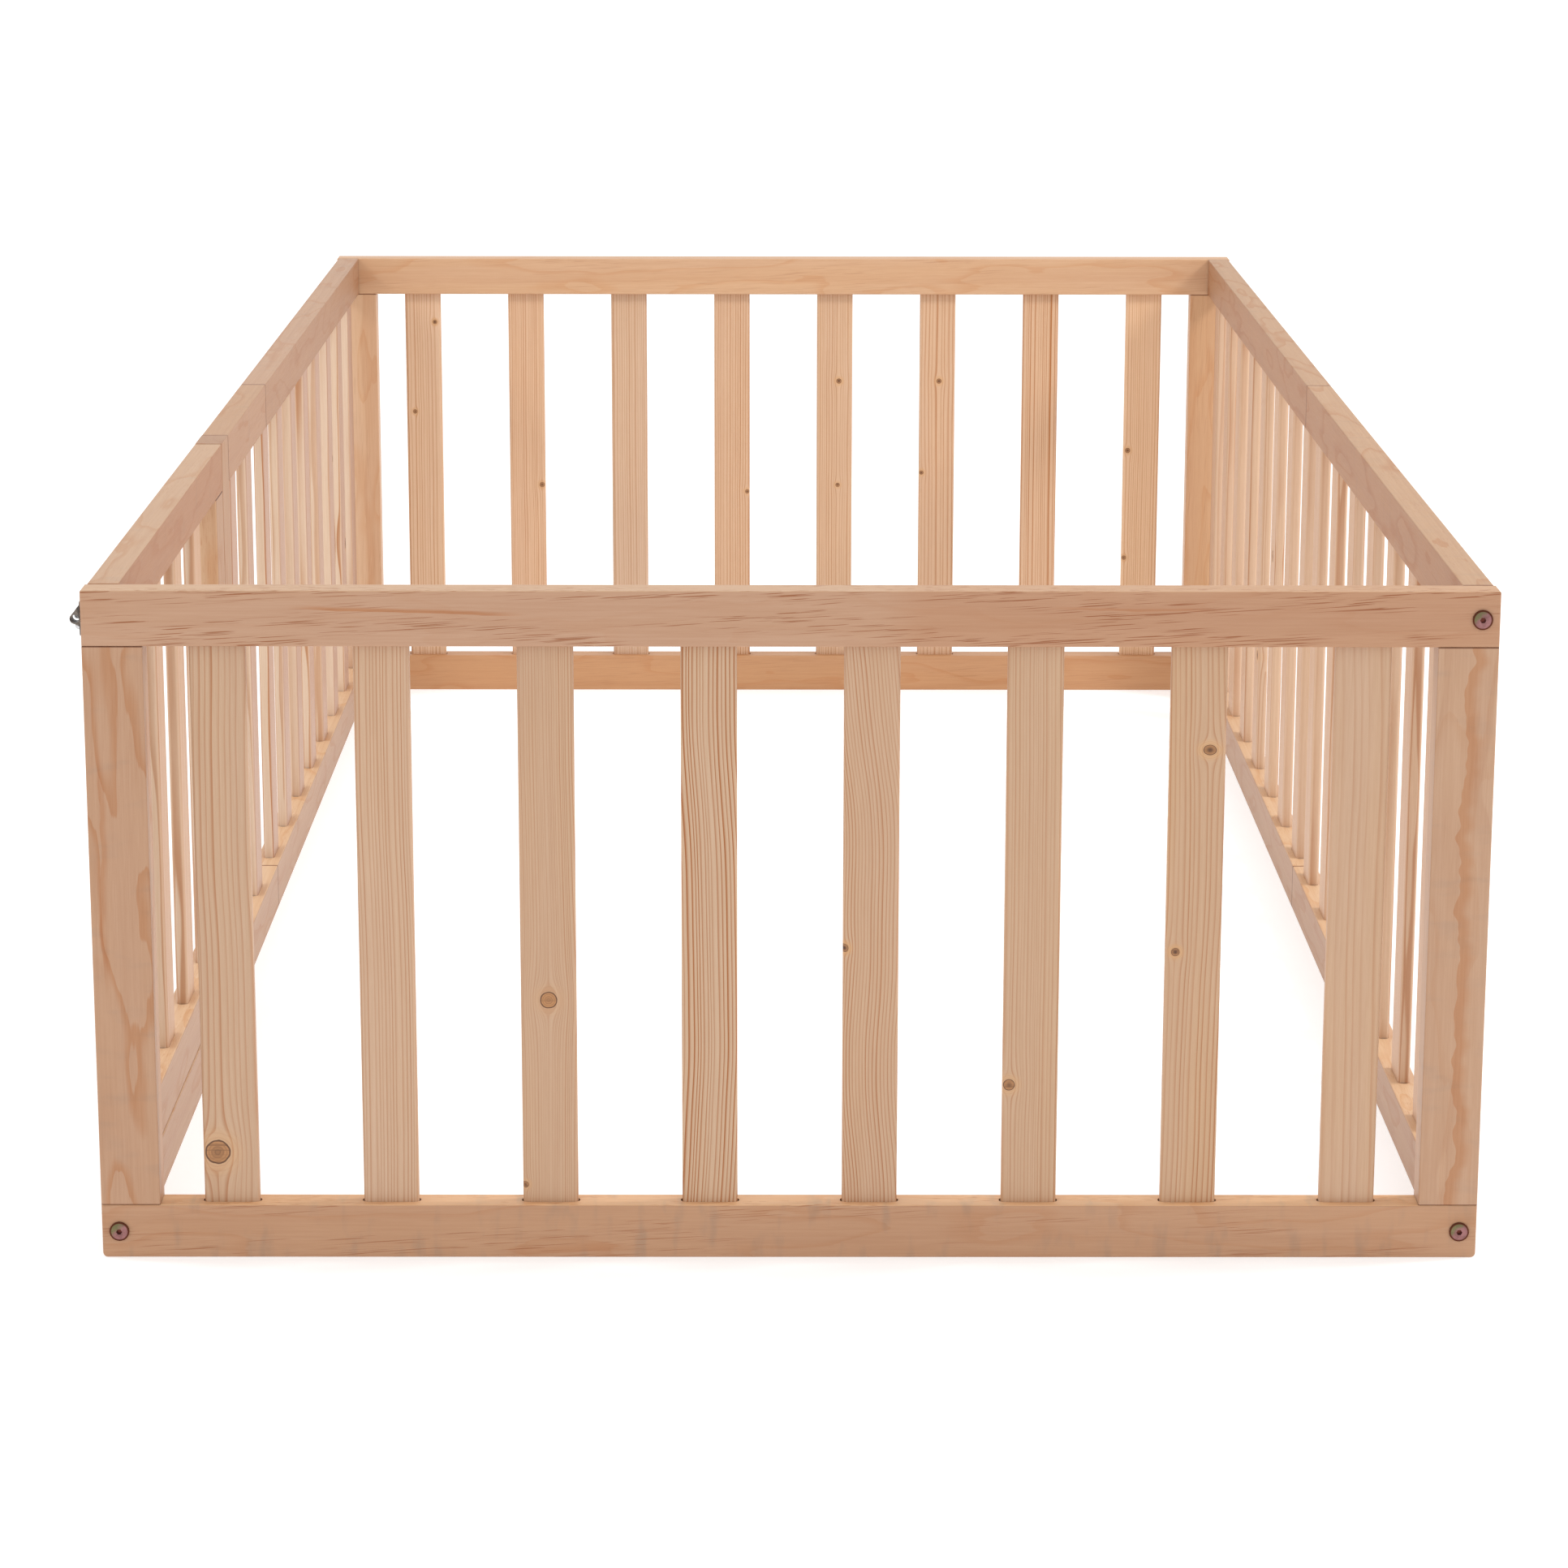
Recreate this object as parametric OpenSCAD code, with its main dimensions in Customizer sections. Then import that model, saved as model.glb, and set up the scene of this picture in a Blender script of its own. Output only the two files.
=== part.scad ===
// Slatted wooden playpen, open at the top and bottom, with one hinged gate.
// X runs to the right, Y towards the back, Z up. The origin is on the floor, under the
// middle of the wooden frame, and the front panel faces -Y.
// The front and back panels carry posts. The long sides are pairs of half rails that meet
// in the middle. The front half of the left side is the doorway: a sill, a gate, and a
// short fixed panel that starts at the post the gate hangs on.

/* [Overall size] */
// Width of the pen, over the front panel
pen_w = 1050; // [950:10:1150]
// Length of the pen, front face to back face
pen_l = 1970; // [1900:10:2100]
// Height of the pen
pen_h = 520; // [480:10:600]

/* [Timber] */
// Height of every rail
rail_h = 42; // [40:1:46]
// Thickness of the front and back panels
rail_t = 25; // [24:1:28]
// Width of the corner posts, gate stiles and hinge post
post_w = 45; // [44:1:50]
// Rounding along the rails and posts
edge_r = 1.2; // [0.8:0.1:3]
// Rounding of the front and back bottom rails' lower corners
corner_r = 4.5; // [3:0.5:8]
// How far the front and back rails run past the sides
overhang = 1.5; // [0:0.5:3]

/* [Slats] */
// Width of a slat
slat_w = 42; // [36:1:44]
// Thickness of a slat
slat_t = 10; // [8:1:11]
// Rounding of a slat's long edges
slat_r = 3.2; // [1.5:0.1:4]
// Depth that a slat goes into each rail
slat_seat = 8; // [6:1:12]
// Spacing of the slats in the front and back panels
end_pitch = 121.7; // [100:0.1:122]
// Spacing of the slats in a long side
side_pitch = 123; // [100:1:124]

/* [Gate] */
// Length of the gate
gate_l = 617; // [600:1:630]
// Spacing of the slats in the gate and in the short fixed panel
gate_pitch = 121.8; // [100:0.1:122]
// Clear gap round the gate
gate_gap = 2.5; // [2:0.5:4]
// Height of each hinge
hinge_h = 50; // [40:2:60]
// Height above the floor of the hinges' middles
hinge_z = [140, 424];

/* [Fasteners] */
// Diameter of a frame bolt's shank
bolt_d = 6; // [5:1:6]
// Diameter of a frame bolt's head
bolt_head_d = 15; // [12:1:16]
// Diameter of the latch rod
rod_d = 5; // [4:0.5:5]

/* [Hidden] */

$fn = 48;
end_slats = 8;                  // slats in the front panel and in the back panel
half_slats = 8;                 // slats in each fixed half of a long side
gate_slats = 4;
over = 1;                       // extra length of a cutting shape past a face
metal_edge = 0.3;               // rounding of a metal plate's faces
rail_colour = [0.80, 0.62, 0.47];
slat_colour = [0.86, 0.71, 0.55];
steel_colour = [0.70, 0.71, 0.73];
bolt_colour = [0.60, 0.52, 0.36];

// Main planes
front = -pen_l / 2;             // outer face of the front panel
back = pen_l / 2;               // outer face of the back panel
side_out = pen_w / 2 - overhang;            // outer faces of the long sides
side_in = pen_w / 2 - rail_t;               // inner faces of the long sides
side_t = side_out - side_in;
side_mid = (side_out + side_in) / 2;
top_z = pen_h - rail_h;         // underside of the top rails
half_l = pen_l / 2 - rail_t;    // length of half a long side
joint_r = 0.6;                  // eased edges where two boards meet
post_h = top_z - rail_h;        // height between the rails

// Gate frame
gate_front = front + rail_t + gate_gap;
gate_back = gate_front + gate_l;
gate_bottom = rail_h + gate_gap;
gate_mid_y = (gate_front + gate_back) / 2;
gate_post_front = gate_back + gate_gap;     // front face of the hinge post
fixed_front = gate_post_front + post_w;     // where the short fixed top rail starts
fixed_slat_gap = 60;            // hinge post to the first fixed slat
fixed_first = fixed_front + fixed_slat_gap + slat_w / 2;

// Slots, holes and dowels
slot_play = 0.1;                // room on each broad side of a slat
slot_corner_play = 0.03;        // room at a slat's rounded corners
slot_r = slat_t / 2 + slot_play;
slot_mid = slat_w / 2 - slat_r  // slat's middle to the centre of a slot's round end
    - sqrt(pow(slot_r - slat_r - slot_corner_play, 2) - pow(slat_t / 2 - slat_r, 2));
hole_play = 0.1;                // room round a shank or a dowel
dowel_d = 8;
dowel_l = 40;
dowel_inset = post_w - 15;      // post's outer face to its dowel
stile_inset = post_w - 12;      // gate's end to a stile's dowel
bolt_l = 45;
bolt_head_h = 2.4;
bolt_dome = 1.2;
bolt_hex_d = 4.6;               // across the corners of the head's hex socket
bolt_hex_depth = 2.6;
bolt_tip_h = 1;                 // tapered end of the shank
bolt_tip_d = bolt_d - 1.4;
bolt_hole_d = bolt_d + 0.4;
bolt_hole_l = bolt_l + 3;
insert_l = 18;
insert_d = 10;

// Screws
screw_d = 3;
screw_head_d = 6;
screw_head_h = 1.6;
screw_tip_h = 2;
screw_tip_d = 1;
cross_l = 3.2;                  // cross recess of a screw's head
cross_w = 0.8;
cross_depth = 1;
pilot_d = screw_d + 2 * hole_play;
pilot_end = 0.5;                // room past a screw's tip
sink_d = screw_head_d + 0.4;    // countersink round a screw's head
sink_over = 0.1;                // room over and under a screw's head
screw_l = 14;
plate_screw_l = 16;

// Joining plates over the middle seams
plate_l = 100;
plate_h = 20;
plate_t = 2;
plate_corner_r = 4;
plate_holes = [-42, -27, 27, 42];

// Hinges
leaf_t = 1.2;
leaf_w = 21;
knuckle_r = 3;
knuckle_off = 3.4;              // pin axis to the wood's outer face
pin_r = 1.5;
pin_play = 0.05;
pin_head_r = 2.4;
pin_head_top_r = 1.7;
pin_head_h = 1;
knuckle_gap = 0.3;
leaf_cut = 3.6;                 // where a leaf stops beside the other leaf's knuckle
leaf_screw_y = 14;              // pin axis to a leaf's screws
leaf_screw_z = 13;              // screws above and below a hinge's middle
pin_x = -side_out - knuckle_off;
pin_y = (gate_back + gate_post_front) / 2;
pin_z0 = -hinge_h / 2;

// Latch
rod_r = rod_d / 2;
rod_play = 0.08;
rod_tip = 0.6;                  // bevel of the rod's front end
rod_x = -side_out - 6;
rod_z = pen_h - 22;
rod_l = 82;
rod_front = front + 15.5;       // rod's front end when it is drawn back to rest
keeper_front = front + 4;       // keeper loop, on the front rail's end
keeper_l = 10;
keeper_hole_r = rod_r + 0.5;
keeper_plate_y = front + 3;
keeper_plate_l = 19;
loop_wall = 1.4;
loop_top = 11.5;                // loop's upper flank leaves the plate this far above the rod
loop_foot = 6;                  // and its lower flank this far below
loop_r = rod_r + rod_play + loop_wall;
flank_r = loop_r - 0.2;
latch_t = 1.2;
latch_corner_r = 3;
latch_y = gate_front + 3;
latch_l = 62;
latch_h = 26;
latch_low = 13;                 // rod to the plate's lower edge
guide_l = 10;
knob_y = latch_y + latch_l / 2;
knob_tilt = 20;                 // the knob hangs down and leans out
knob_l = 18;
knob_r = 3.3;
knob_stem_r = 1.8;
latch_screw_y = 17;
latch_screw_z = 9.5;
keeper_screw_y = 15.5;
keeper_screw_z = 9.5;

// ---- Building blocks ----

// r rounds all four corners, or is [lower corners, upper corners]
module rounded_rect(w, h, r) {
    low = is_list(r) ? r[0] : r;
    high = is_list(r) ? r[1] : r;
    translate([0, low]) square([w, h - low - high]);
    translate([low, 0]) square([w - 2 * low, h / 2]);
    translate([high, h / 2]) square([w - 2 * high, h / 2]);
    for (x = [low, w - low]) translate([x, low]) circle(low);
    for (x = [high, w - high]) translate([x, h - high]) circle(high);
}

// A board with its corner at the origin. rx, ry and rz round the edges along X, Y and Z.
module board(size, rx, ry, rz) {
    intersection() {
        rotate([90, 0, 90]) linear_extrude(size.x) rounded_rect(size.y, size.z, rx);
        translate([0, size.y, 0]) rotate([90, 0, 0])
            linear_extrude(size.y) rounded_rect(size.x, size.z, ry);
        linear_extrude(size.z) rounded_rect(size.x, size.y, rz);
    }
}

// A rail of the front or back panel. corners is [lower, upper] rounding of its ends.
module end_rail(y0, z0, corners)
    translate([-pen_w / 2, y0, z0]) board([pen_w, rail_t, rail_h], edge_r, corners, edge_r);

// A rail of a long side. s is 1 on the right and -1 on the left.
module side_rail(s, y0, y1, z0, end_r = joint_r)
    translate([s > 0 ? side_in : -side_out, y0, z0])
        board([side_t, y1 - y0, rail_h], end_r, edge_r, end_r);

// A post or stile of a long side
module side_post(s, y0, z0, z1)
    translate([s > 0 ? side_in : -side_out, y0, z0])
        board([side_t, post_w, z1 - z0], joint_r, joint_r, edge_r);

// A post of the front or back panel
module end_post(s, y0)
    translate([s > 0 ? pen_w / 2 - post_w : -pen_w / 2, y0, rail_h])
        board([post_w, rail_t, post_h], joint_r, joint_r, edge_r);

module slat_outline() translate([-slat_w / 2, -slat_t / 2]) rounded_rect(slat_w, slat_t, slat_r);

// A slat about its own middle. turn is 90 for a slat in a long side.
module slat(x, y, z0, z1, turn = 0)
    translate([x, y, z0 - slat_seat]) rotate([0, 0, turn])
        linear_extrude(z1 - z0 + 2 * slat_seat) slat_outline();

module slot_outline() {
    translate([-slot_mid, -slot_r]) square([2 * slot_mid, 2 * slot_r]);
    for (x = [-slot_mid, slot_mid]) translate([x, 0]) circle(slot_r);
}

// Slots cut up into a top rail (z is its underside) or down into a bottom rail (z is its top)
module slot(x, y, z, up, turn = 0)
    translate([x, y, up ? z - over : z - slat_seat]) rotate([0, 0, turn])
        linear_extrude(slat_seat + over) slot_outline();

function end_slat_x(i) = (i - (end_slats - 1) / 2) * end_pitch;
function half_slat_y(rear, i) = (rear ? 1 : -1) * half_l / 2
    + (i - (half_slats - 1) / 2) * side_pitch;
function gate_slat_y(i) = gate_mid_y + (i - (gate_slats - 1) / 2) * gate_pitch;
function fixed_slat_y(i) = fixed_first + i * gate_pitch;

// ---- Fasteners, each along +Z into the wood from a surface at z = 0 ----

module bolt() {
    sphere_r = (pow(bolt_head_d / 2, 2) + pow(bolt_dome, 2)) / (2 * bolt_dome);
    difference() {
        union() {
            intersection() {
                translate([0, 0, -bolt_head_h]) cylinder(d = bolt_head_d, h = bolt_head_h);
                translate([0, 0, sphere_r - bolt_head_h]) sphere(sphere_r, $fn = 96);
            }
            cylinder(d = bolt_d, h = bolt_l - bolt_tip_h);
            translate([0, 0, bolt_l - bolt_tip_h])
                cylinder(d1 = bolt_d, d2 = bolt_tip_d, h = bolt_tip_h);
        }
        translate([0, 0, -bolt_head_h - over])
            cylinder(d = bolt_hex_d, h = bolt_hex_depth + over, $fn = 6);
    }
}

module screw(length) {
    difference() {
        union() {
            cylinder(d1 = screw_head_d, d2 = screw_d, h = screw_head_h);
            cylinder(d = screw_d, h = length - screw_tip_h);
            translate([0, 0, length - screw_tip_h])
                cylinder(d1 = screw_d, d2 = screw_tip_d, h = screw_tip_h);
        }
        for (a = [0, 90]) rotate([0, 0, a]) translate([-cross_l / 2, -cross_w / 2, -over])
            cube([cross_l, cross_w, cross_depth + over]);
    }
}

// Pilot hole and countersink for a screw, cut from the surface at z = 0
module screw_hole(length) {
    translate([0, 0, -over]) cylinder(d = pilot_d, h = length + over + pilot_end);
    translate([0, 0, -sink_over])
        cylinder(d1 = sink_d, d2 = pilot_d, h = screw_head_h + 2 * sink_over);
}

// Every frame bolt's place: [side, front or back, height]. The gate corner has none on top.
bolt_places = [for (s = [-1, 1], e = [-1, 1], z = [rail_h / 2, pen_h - rail_h / 2])
    if (!(s < 0 && e < 0 && z > pen_h / 2)) [s, e, z]];

// Puts its children at a frame bolt's place, pointing into the wood
module at_bolt(p) translate([p[0] * side_mid, p[1] > 0 ? back : front, p[2]])
    rotate([p[1] > 0 ? 90 : -90, 0, 0]) children();

module bolt_holes() for (p = bolt_places) at_bolt(p)
    translate([0, 0, -over]) cylinder(d = bolt_hole_d, h = bolt_hole_l + over);

module insert_holes() for (p = bolt_places) at_bolt(p)
    translate([0, 0, rail_t - over]) cylinder(d = insert_d + hole_play, h = insert_l + over);

// Dowels of the front and back posts
module end_dowels(play = 0) for (s = [-1, 1], y = [front + rail_t / 2, back - rail_t / 2])
    for (z = [rail_h, top_z])
        translate([s * (pen_w / 2 - dowel_inset), y, z - dowel_l / 2 - play])
            cylinder(d = dowel_d + play, h = dowel_l + 2 * play);

// Dowels across the middle seams, one in each pair of half rails
module seam_dowels(play = 0) for (s = [-1, 1], z = [rail_h / 2, pen_h - rail_h / 2])
    translate([s * side_mid, -dowel_l / 2 - play, z]) rotate([-90, 0, 0])
        cylinder(d = dowel_d + play, h = dowel_l + 2 * play);

// Dowels of the hinge post: down into the sill, and across into the short top rail
module hinge_post_dowels(play = 0) {
    translate([-side_mid, gate_post_front + post_w / 2, rail_h - dowel_l / 2 - play])
        cylinder(d = dowel_d + play, h = dowel_l + 2 * play);
    translate([-side_mid, fixed_front - dowel_l / 2 - play, pen_h - rail_h / 2])
        rotate([-90, 0, 0]) cylinder(d = dowel_d + play, h = dowel_l + 2 * play);
}

// Dowels of the gate's stiles
module stile_dowels(play = 0)
    for (y = [gate_front + stile_inset, gate_back - stile_inset], z = [gate_bottom + rail_h, top_z])
        translate([-side_mid, y, z - dowel_l / 2 - play])
            cylinder(d = dowel_d + play, h = dowel_l + 2 * play);

// Puts its children at each joining-plate screw of one side, pointing into the wood
module at_plate_screws(s) for (z = [rail_h / 2, pen_h - rail_h / 2], y = plate_holes)
    translate([s * (side_out + plate_t), y, z]) rotate([0, s > 0 ? -90 : 90, 0]) children();

// Puts its children at a hinge leaf's screws. t is 1 on the post and -1 on the gate.
module at_leaf_screws(t) for (z = hinge_z, dz = [-leaf_screw_z, leaf_screw_z])
    translate([-side_out - leaf_t, pin_y + t * leaf_screw_y, z + dz]) rotate([0, 90, 0])
        children();

module at_latch_screws() for (y = [-latch_screw_y, latch_screw_y], z = [-1, 1])
    translate([-side_out - latch_t, knob_y + y, rod_z + z * latch_screw_z])
        rotate([0, 90, 0]) children();

module at_keeper_screws() for (z = [-1, 1])
    translate([-pen_w / 2 - latch_t, keeper_plate_y + keeper_screw_y, rod_z + z * keeper_screw_z])
        rotate([0, 90, 0]) children();

// ---- Front and back panels ----

module end_bottom_rail(y0) difference() {
    end_rail(y0, 0, [corner_r, joint_r]);
    for (i = [0 : end_slats - 1]) slot(end_slat_x(i), y0 + rail_t / 2, rail_h, false);
    bolt_holes();
    end_dowels(hole_play);
}

module end_top_rail(y0) difference() {
    end_rail(y0, top_z, [joint_r, edge_r]);
    for (i = [0 : end_slats - 1]) slot(end_slat_x(i), y0 + rail_t / 2, top_z, true);
    bolt_holes();
    end_dowels(hole_play);
}

module front_top_rail() color(rail_colour) difference() {
    end_top_rail(front);
    at_keeper_screws() screw_hole(screw_l);
}

module front_bottom_rail() color(rail_colour) end_bottom_rail(front);

module back_top_rail() color(rail_colour) end_top_rail(back - rail_t);

module back_bottom_rail() color(rail_colour) end_bottom_rail(back - rail_t);

module end_panel_post(s, y0) color(rail_colour) difference() {
    end_post(s, y0);
    end_dowels(hole_play);
}

module front_slat(i) color(slat_colour)
    slat(end_slat_x(i), front + rail_t / 2, rail_h, top_z);

module back_slats() color(slat_colour) for (i = [0 : end_slats - 1])
    slat(end_slat_x(i), back - rail_t / 2, rail_h, top_z);

// ---- Fixed halves of the long sides ----

module half_rail(s, rear, is_top) color(rail_colour) difference() {
    side_rail(s, rear ? 0 : -half_l, rear ? half_l : 0, is_top ? top_z : 0);
    for (i = [0 : half_slats - 1])
        slot(s * side_mid, half_slat_y(rear, i), is_top ? top_z : rail_h, is_top, 90);
    half_rail_holes(s);
}

module half_rail_holes(s) {
    bolt_holes();
    insert_holes();
    seam_dowels(hole_play);
    at_plate_screws(s) screw_hole(plate_screw_l);
}

module half_panel_slats(s, rear) color(slat_colour) for (i = [0 : half_slats - 1])
    slat(s * side_mid, half_slat_y(rear, i), rail_h, top_z, 90);

// ---- Doorway: sill, hinge post and short fixed panel ----

module left_sill() color(rail_colour) difference() {
    side_rail(-1, -half_l, 0, 0);
    for (i = [0, 1]) slot(-side_mid, fixed_slat_y(i), rail_h, false, 90);
    hinge_post_dowels(hole_play);
    half_rail_holes(-1);
}

module hinge_post() color(rail_colour) difference() {
    side_post(-1, gate_post_front, rail_h, pen_h);
    hinge_post_dowels(hole_play);
    at_leaf_screws(1) screw_hole(screw_l);
}

module left_fixed_top_rail() color(rail_colour) difference() {
    side_rail(-1, fixed_front, 0, top_z);
    for (i = [0, 1]) slot(-side_mid, fixed_slat_y(i), top_z, true, 90);
    hinge_post_dowels(hole_play);
    seam_dowels(hole_play);
    at_plate_screws(-1) screw_hole(plate_screw_l);
}

module left_fixed_slats() color(slat_colour) for (i = [0, 1])
    slat(-side_mid, fixed_slat_y(i), rail_h, top_z, 90);

// ---- Gate ----

module gate_rail(z0, slot_z, up) difference() {
    side_rail(-1, gate_front, gate_back, z0, edge_r);
    for (i = [0 : gate_slats - 1]) slot(-side_mid, gate_slat_y(i), slot_z, up, 90);
    stile_dowels(hole_play);
}

module gate_top_rail() color(rail_colour) difference() {
    gate_rail(top_z, top_z, true);
    at_latch_screws() screw_hole(screw_l);
}

module gate_bottom_rail() color(rail_colour)
    gate_rail(gate_bottom, gate_bottom + rail_h, false);

module gate_latch_stile() color(rail_colour) difference() {
    side_post(-1, gate_front, gate_bottom + rail_h, top_z);
    stile_dowels(hole_play);
}

module gate_hinge_stile() color(rail_colour) difference() {
    side_post(-1, gate_back - post_w, gate_bottom + rail_h, top_z);
    stile_dowels(hole_play);
    at_leaf_screws(-1) screw_hole(screw_l);
}

module gate_slat(i) color(slat_colour)
    slat(-side_mid, gate_slat_y(i), gate_bottom + rail_h, top_z, 90);

// ---- Frame hardware ----

module frame_bolts() color(bolt_colour) for (p = bolt_places) at_bolt(p) bolt();

module insert_nuts() color(steel_colour) for (p = bolt_places) at_bolt(p)
    translate([0, 0, rail_t]) difference() {
        cylinder(d = insert_d, h = insert_l);
        translate([0, 0, -over]) cylinder(d = bolt_d + hole_play, h = insert_l + 2 * over);
    }

module frame_dowels() color(slat_colour) {
    end_dowels();
    seam_dowels();
    hinge_post_dowels();
}

module gate_dowels() color(slat_colour) stile_dowels();

module joining_plates() color(steel_colour) for (s = [-1, 1]) difference() {
    for (z = [rail_h / 2, pen_h - rail_h / 2])
        translate([s > 0 ? side_out : -side_out - plate_t, -plate_l / 2, z - plate_h / 2])
            board([plate_t, plate_l, plate_h], plate_corner_r, metal_edge, metal_edge);
    at_plate_screws(s) screw_hole(plate_screw_l);
}

module plate_screws() color(steel_colour) for (s = [-1, 1])
    at_plate_screws(s) screw(plate_screw_l);

// ---- Hinges ----

// One knuckle with the tab that ties it to its leaf. t is 1 on the post and -1 on the gate.
module knuckle(t, z0, z1) {
    translate([0, 0, z0]) cylinder(r = knuckle_r, h = z1 - z0);
    translate([knuckle_off - leaf_t, t > 0 ? 0 : -leaf_cut - over, z0])
        cube([leaf_t, leaf_cut + over, z1 - z0]);
}

module leaf_blank(t) {
    translate([knuckle_off - leaf_t, t > 0 ? leaf_cut : -leaf_w, pin_z0])
        cube([leaf_t, leaf_w - leaf_cut, hinge_h]);
}

module pin_bore() translate([0, 0, pin_z0 - over])
    cylinder(r = pin_r + pin_play, h = hinge_h + 2 * over);

module post_hinge_leaves() color(steel_colour) difference() {
    for (z = hinge_z) translate([pin_x, pin_y, z]) difference() {
        union() {
            leaf_blank(1);
            knuckle(1, pin_z0, -hinge_h / 6 - knuckle_gap);
            knuckle(1, hinge_h / 6 + knuckle_gap, hinge_h / 2);
        }
        pin_bore();
    }
    at_leaf_screws(1) screw_hole(screw_l);
}

module gate_hinge_leaves() color(steel_colour) difference() {
    for (z = hinge_z) translate([pin_x, pin_y, z]) difference() {
        union() {
            leaf_blank(-1);
            knuckle(-1, -hinge_h / 6, hinge_h / 6);
        }
        pin_bore();
    }
    at_leaf_screws(-1) screw_hole(screw_l);
}

module hinge_pins() color(steel_colour) for (z = hinge_z) translate([pin_x, pin_y, z]) {
    translate([0, 0, pin_z0]) cylinder(r = pin_r, h = hinge_h);
    for (a = [0, 180]) rotate([a, 0, 0]) translate([0, 0, hinge_h / 2])
        cylinder(r1 = pin_head_r, r2 = pin_head_top_r, h = pin_head_h);
}

module post_hinge_screws() color(steel_colour) at_leaf_screws(1) screw(screw_l);

module gate_hinge_screws() color(steel_colour) at_leaf_screws(-1) screw(screw_l);

// ---- Latch ----

// Where the flank that starts at [face, z] meets the loop's ring, just inside its outline
function flank_end(face, z) = let (a = atan2(z, face) + sign(z) * acos(flank_r / norm([face, z])))
    flank_r * [cos(a), sin(a)];

// Outline of a rod loop seen along the rod: a ring with flanks that run back to the plate
module loop_outline(face) {
    circle(loop_r);
    polygon([[face, loop_top], flank_end(face, loop_top), [0, 0],
        flank_end(face, -loop_foot), [face, -loop_foot]]);
}

module loop(y0, length, hole_r, face) translate([rod_x, y0 + length, rod_z])
    rotate([90, 0, 0]) linear_extrude(length) difference() {
        loop_outline(face);
        circle(hole_r);
    }

module latch_plate() color(steel_colour) difference() {
    union() {
        translate([-side_out - latch_t, latch_y, rod_z - latch_low])
            board([latch_t, latch_l, latch_h], latch_corner_r, metal_edge, metal_edge);
        for (y = [latch_y, latch_y + latch_l - guide_l])
            loop(y, guide_l, rod_r + rod_play, -side_out - latch_t / 2 - rod_x);
    }
    at_latch_screws() screw_hole(screw_l);
}

module latch_rod() color(steel_colour) {
    translate([rod_x, rod_front, rod_z]) rotate([-90, 0, 0]) {
        cylinder(r1 = rod_r - rod_tip, r2 = rod_r, h = rod_tip);
        translate([0, 0, rod_tip]) cylinder(r = rod_r, h = rod_l - rod_tip);
    }
    translate([rod_x, knob_y, rod_z]) rotate([0, 180 + knob_tilt, 0]) {
        cylinder(r = knob_stem_r, h = knob_l);
        translate([0, 0, knob_l]) sphere(knob_r);
    }
}

module latch_screws() color(steel_colour) at_latch_screws() screw(screw_l);

module latch_keeper() color(steel_colour) difference() {
    union() {
        translate([-pen_w / 2 - latch_t, keeper_plate_y, rod_z - latch_low])
            board([latch_t, keeper_plate_l, latch_h], latch_corner_r, metal_edge, metal_edge);
        loop(keeper_front, keeper_l, keeper_hole_r, -pen_w / 2 - latch_t / 2 - rod_x);
    }
    at_keeper_screws() screw_hole(screw_l);
}

module keeper_screws() color(steel_colour) at_keeper_screws() screw(screw_l);

// ---- The whole pen ----

front_top_rail();
front_bottom_rail();
end_panel_post(-1, front);  // front_left_post
end_panel_post(1, front);  // front_right_post
front_slat(0);  // front_slat_1
front_slat(1);  // front_slat_2
front_slat(2);  // front_slat_3
front_slat(3);  // front_slat_4
front_slat(4);  // front_slat_5
front_slat(5);  // front_slat_6
front_slat(6);  // front_slat_7
front_slat(7);  // front_slat_8
back_top_rail();
back_bottom_rail();
end_panel_post(-1, back - rail_t);  // back_left_post
end_panel_post(1, back - rail_t);  // back_right_post
back_slats();
half_rail(1, false, true);  // right_front_top_rail
half_rail(1, false, false);  // right_front_bottom_rail
half_panel_slats(1, false);  // right_front_slats
half_rail(1, true, true);  // right_rear_top_rail
half_rail(1, true, false);  // right_rear_bottom_rail
half_panel_slats(1, true);  // right_rear_slats
half_rail(-1, true, true);  // left_rear_top_rail
half_rail(-1, true, false);  // left_rear_bottom_rail
half_panel_slats(-1, true);  // left_rear_slats
left_sill();
hinge_post();
left_fixed_top_rail();
left_fixed_slats();
gate_top_rail();
gate_bottom_rail();
gate_latch_stile();
gate_hinge_stile();
gate_slat(0);  // gate_slat_1
gate_slat(1);  // gate_slat_2
gate_slat(2);  // gate_slat_3
gate_slat(3);  // gate_slat_4
frame_bolts();
insert_nuts();
frame_dowels();
gate_dowels();
joining_plates();
plate_screws();
post_hinge_leaves();
gate_hinge_leaves();
hinge_pins();
post_hinge_screws();
gate_hinge_screws();
latch_plate();
latch_rod();
latch_screws();
latch_keeper();
keeper_screws();
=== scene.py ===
"""Looks of a wooden playpen: pine boards, plated metal, studio floor, light and camera.

Lengths are metres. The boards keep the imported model's shapes. Each gets its own grain, worked
out in three dimensions from growth rings round a pith line, so its faces, edges and end grain
belong together.
"""

import math

import bpy
from mathutils import Matrix, Vector


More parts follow.
